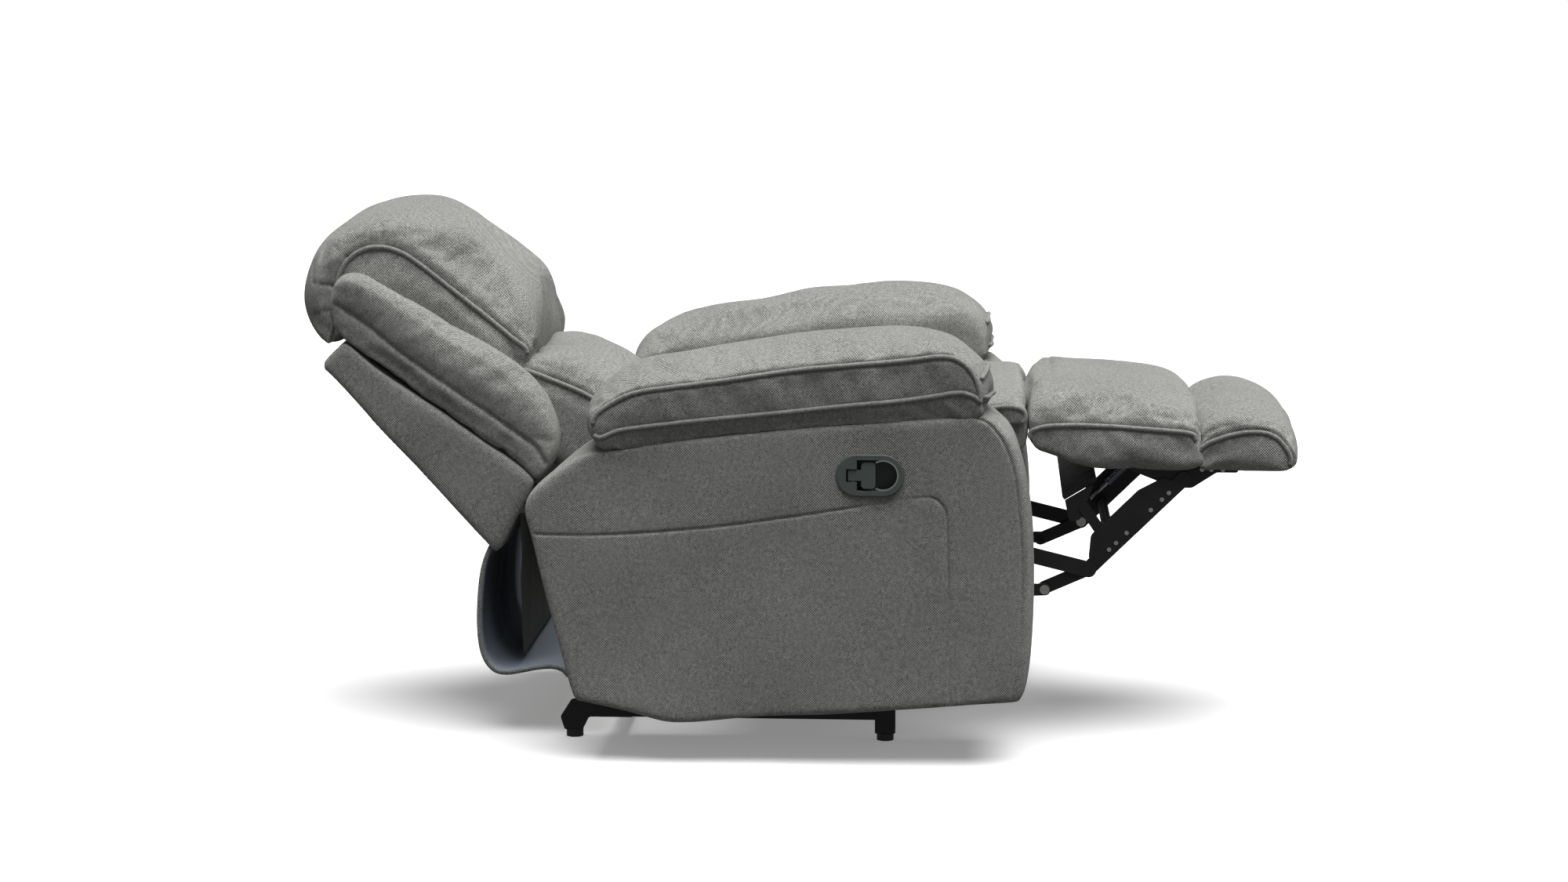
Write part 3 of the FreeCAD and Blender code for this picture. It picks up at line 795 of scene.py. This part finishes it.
for side in (-1, 1):
    name = "ArmPad_%s" % "RL"[side > 0]
    x_in, x_out = side * PAD_X[0], side * PAD_X[1]
    pad = cushion(name, PAD_MID, PAD_EDGE, x_out, [upper, lower], "base",
                  "arm_pad_right" if side < 0 else "arm_pad_left", 0.8, cap=0.010, seed=81 + side, stations=25,
                  inner=(PAD_INNER, x_in))
    for k, (z_end, z_mid) in enumerate(((0.638, 0.646), (0.594, 0.592))):
        front = [(x_in + (x_out - x_in) * t, -0.335, z_end + (z_mid - z_end) * math.sin(math.pi * t))
                 for t in np.linspace(0.10, 0.99, 30)]
        welt("%sFrontWelt_%d" % (name, k), pad, front, "base")

# ---- seat ----
SEAT_MID = mm([(184, 402), (188, 450), (184, 505), (150, 525), (20, 545), (-150, 558), (-290, 570), (-352, 575),
               (-384, 569), (-393, 545), (-384, 524), (-340, 522), (-282, 518), (-277, 460), (-272, 402), (-100, 398),
               (60, 398)])
SEAT_EDGE = mm([(182, 405), (184, 450), (180, 492), (150, 506), (20, 522), (-150, 536), (-290, 548), (-350, 557),
                (-380, 553), (-389, 540), (-382, 527), (-340, 524), (-284, 518), (-279, 460), (-274, 405),
                (-100, 401), (60, 401)])
SEAT_HALF = SEAT_HIGH[0] - 0.002
seat_line = smooth(SEAT_EDGE, 8)[8 * 2:8 * 10 + 1]
seat_cross = np.array([(x, -0.262, 0.569 - 0.020 * abs(x / 0.25) ** 4) for x in np.linspace(-0.25, 0.25, 80)])
cushion("SeatCushion", SEAT_MID, SEAT_EDGE, SEAT_HALF, [seat_line], "base", "seat_cushion", 0.7, power=3, voxel=0.007,
        cap=0.006, pressed=[seat_cross], size=0.17, seed=91)

# chaise panel that closes the space between the seat nose and the footrest
APRON = mm([(-352, 545), (-372, 548), (-388, 540), (-390, 515), (-387, 494), (-378, 483), (-362, 482), (-353, 492),
            (-350, 515)])
apron = pillow("ChaiseApron", APRON, inset(APRON, 0.004), -0.247, 0.247, power=8, stations=31)
remesh(apron, 0.006)
relax(apron, 1)
rumple(apron, 0.10, 0.0012, 93)
upholster(apron, TWEED, "base", fill=0.5)
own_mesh(apron)

# ---- footrest ----
FOOT_MID = mm([(-394, 490), (-390, 540), (-392, 578), (-404, 591), (-430, 594), (-480, 591), (-533, 586), (-595, 578),
               (-635, 566), (-660, 550), (-667, 530), (-668, 490), (-668, 457), (-560, 456), (-495, 459),
               (-425, 478)])
FOOT_EDGE = mm([(-396, 491), (-392, 503), (-394, 512), (-404, 519), (-430, 524), (-480, 525), (-533, 523),
                (-590, 519), (-635, 516), (-658, 512), (-664, 502), (-666, 485), (-667, 457), (-560, 456),
                (-495, 459), (-425, 479)])
FOOT_HALF = FOOT_HIGH[0]
foot_line = smooth(FOOT_EDGE, 8)[8 * 1:8 * 10 + 1]
foot_cross = np.array([(x, -0.428, 0.597 - 0.030 * abs(x / 0.25) ** 4) for x in np.linspace(-0.245, 0.245, 80)])
cushion("FootrestPad", FOOT_MID, FOOT_EDGE, FOOT_HALF, [foot_line], "footrest", "footrest_pad", 0.8, power=2.6,
        cap=0.007, pressed=[foot_cross], seed=111)

ROLL_MID = mm([(-669, 457), (-668, 520), (-672, 543), (-690, 553), (-724, 559), (-757, 557), (-787, 547), (-812, 530),
               (-831, 506), (-840, 484), (-840, 467), (-832, 457), (-812, 455), (-780, 455), (-740, 455), (-700, 456)])
ROLL_EDGE = mm([(-670, 457), (-670, 484), (-676, 492), (-690, 500), (-718, 510), (-748, 516), (-776, 515),
                (-798, 505), (-812, 488), (-819, 474), (-818, 463), (-812, 458), (-796, 456), (-770, 456),
                (-738, 456), (-702, 457)])
roll_line = smooth(ROLL_EDGE, 8)[8 * 1:8 * 10 + 1]
cushion("EndRoll", ROLL_MID, ROLL_EDGE, FOOT_HALF, [roll_line], "footrest", "end_roll", 0.8, power=2.6, cap=0.007,
        size=0.11, seed=131)


# ---- rear flap and the lining that hangs inside it ----
def hanging(name, line, half, thick, wave, inside, outside, cols=61):
    """A sheet that hangs across the chair: fabric outside and lining inside."""
    verts, faces = [], []
    for i, (y, z) in enumerate(line):
        drop = i / (len(line) - 1)
        for j in range(cols):
            x = half * (2 * j / (cols - 1) - 1)
            push = wave * (math.sin(x * 31 + drop * 4) * math.sin(math.pi * drop)
                           + 1.8 * math.sin(x * 67 + 1.3) * drop * (1 - drop))
            verts.append((x, y + push, z + push * 0.4))
    for i in range(len(line) - 1):
        for j in range(cols - 1):
            a = i * cols + j
            faces.append((a, a + 1, a + cols + 1, a + cols))
    sheet = new_object(name, verts, faces)
    solid = sheet.modifiers.new("thickness", "SOLIDIFY")
    solid.thickness = thick
    solid.offset = 1
    solid.material_offset = 1
    sheet.data.materials.append(outside)
    sheet.data.materials.append(inside)
    apply_modifiers(sheet)
    shade_smooth(sheet)
    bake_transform(sheet)
    return sheet


FLAP = mm([(496, 312), (506, 290), (513, 262), (517, 225), (518, 186), (515, 152), (508, 128), (497, 112), (484, 104),
           (466, 103), (444, 107), (420, 112), (396, 114), (378, 109), (368, 98)])
flap_line = smooth(FLAP, 5, closed=False)
flap = hanging("RearFlap", flap_line, 0.255, 0.007, 0.004, LINING, TWEED)
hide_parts("rear_flap")
CURTAIN = mm([(455, 372), (451, 330), (449, 290), (450, 250), (449, 210), (450, 168), (448, 122)])
# the inner lining's near-black colour is painted shade, darkening the space inside the flap
curtain = hanging("InnerLining", smooth(CURTAIN, 4, closed=False), 0.222, 0.002, 0.003, PAINTED_SHADE_LINING, PAINTED_SHADE_LINING)

# ---- coil springs ----
SPRING_LOW, SPRING_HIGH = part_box("link_springs")
COIL_X = 0.221
COIL_TURNS = 11
COIL_STEPS = 16
COIL_RADIUS = 0.0058
WIRE_RADIUS = 0.0013
COIL_END_GAP = 0.006
coil_a = Vector((0, SPRING_HIGH[1], SPRING_LOW[2]))
coil_b = Vector((0, SPRING_LOW[1], SPRING_HIGH[2]))
for side in (-1, 1):
    way = (coil_b - coil_a).normalized()
    a = coil_a + way * COIL_END_GAP
    b = coil_b - way * COIL_END_GAP
    over = Vector((1, 0, 0))
    under = way.cross(over)
    line = []
    for k in range(COIL_TURNS * COIL_STEPS + 1):
        t = k / (COIL_TURNS * COIL_STEPS)
        angle = 2 * math.pi * COIL_TURNS * t
        p = a.lerp(b, t) + over * (COIL_RADIUS * math.cos(angle)) + under * (COIL_RADIUS * math.sin(angle))
        line.append((p.x + side * COIL_X, p.y, p.z))
    coil = tube("LinkSpring_%s" % "RL"[side > 0], line, WIRE_RADIUS, sides=8)
    coil.data.materials.append(SPRING)
    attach(coil, "upper_link")
    if side > 0:
        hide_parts("link_springs")
